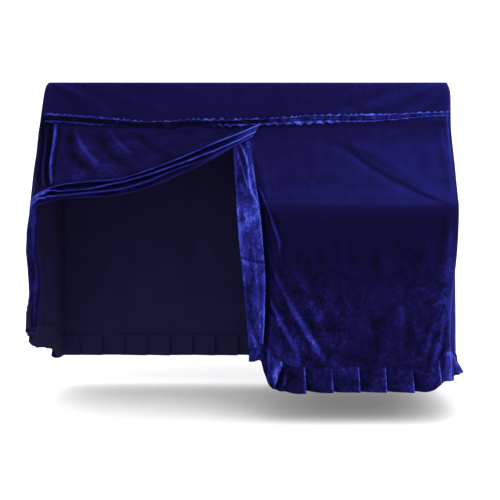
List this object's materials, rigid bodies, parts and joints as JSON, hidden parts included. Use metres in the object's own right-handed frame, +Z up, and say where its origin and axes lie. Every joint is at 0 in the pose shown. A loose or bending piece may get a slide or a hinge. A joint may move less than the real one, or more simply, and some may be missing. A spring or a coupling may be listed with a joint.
{
  "type": "fitted upright piano cover",
  "caption": "Fitted velvet cover for an upright piano: flat top, shirred band, ruffled hem, left front curtain drawn aside over the arm.",
  "frame": {"origin": "centre of the underside of the top panel, where it lies on the piano's lid", "axes": "+X along the keyboard to the player's right, +Y from the player to the wall, +Z up"},
  "size_m": [1.6159, 0.692, 1.1238],
  "materials": {
    "velvet": "royal blue crushed velvet, short pile with a strong blue sheen at grazing light",
    "velvet_trim": "the same velvet, gathered and pleated, so that its folded edges catch the light"
  },
  "bodies": {
    "root": {"top_panel": "velvet", "front_valance": "velvet", "shirred_band": "velvet_trim", "right_curtain": "velvet", "left_curtain": "velvet", "right_side_panel": "velvet", "left_side_panel": "velvet", "back_panel": "velvet", "right_curtain_ruffle": "velvet_trim", "right_side_ruffle": "velvet_trim", "back_ruffle": "velvet_trim", "left_side_ruffle": "velvet_trim", "left_curtain_ruffle": "velvet_trim"}
  },
  "joints": []
}
